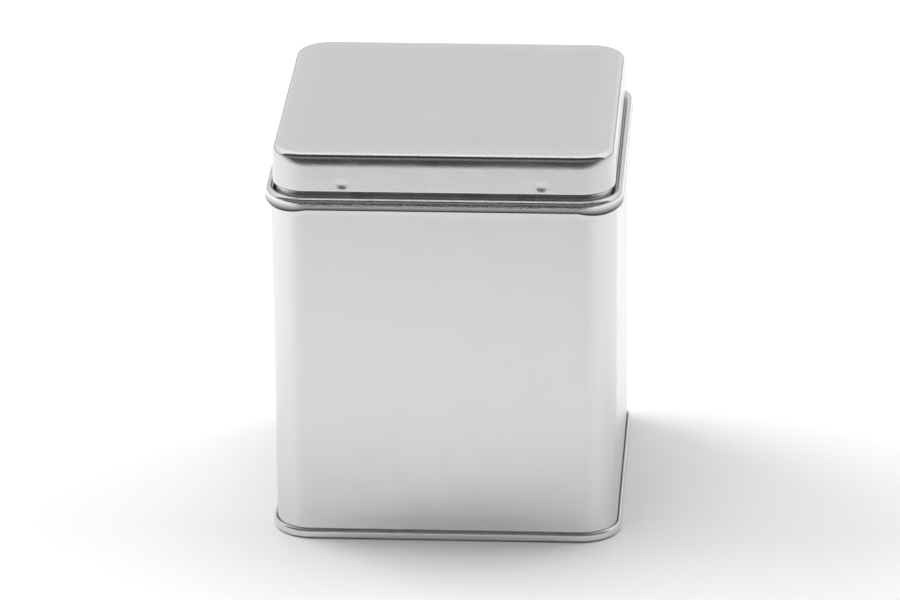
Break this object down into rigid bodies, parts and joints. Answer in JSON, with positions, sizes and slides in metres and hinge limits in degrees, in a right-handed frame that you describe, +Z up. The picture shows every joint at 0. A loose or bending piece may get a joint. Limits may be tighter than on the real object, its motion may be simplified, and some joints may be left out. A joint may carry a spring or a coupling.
{
  "type": "spice tin",
  "caption": "Square tinplate spice or tea tin with rounded corners, rolled seams and a plain slip lid that lifts straight off.",
  "frame": {"origin": "on the floor, under the middle of the tin", "axes": "+Z up, the way the lid lifts; -Y is the front, +Y the back with the wall's lock seam; +X is to the right seen from the front"},
  "size_m": [0.0808, 0.0808, 0.0932],
  "materials": {
    "body_tinplate": "satin stone-finish tinplate, unprinted",
    "base_tinplate": "satin stone-finish tinplate, unprinted",
    "neck_tinplate": "satin tinplate, burnished where it is rolled",
    "lid_tinplate": "satin stone-finish tinplate, unprinted"
  },
  "bodies": {
    "tin": {"body_shell": "body_tinplate", "base_panel": "base_tinplate", "neck_ring": "neck_tinplate"},
    "lid": {"lid": "lid_tinplate"}
  },
  "joints": [
    {"name": "lid_lift", "type": "slide", "parent": "tin", "child": "lid", "axis": [0, 0, 1], "range_m": [0, 0.03]}
  ]
}
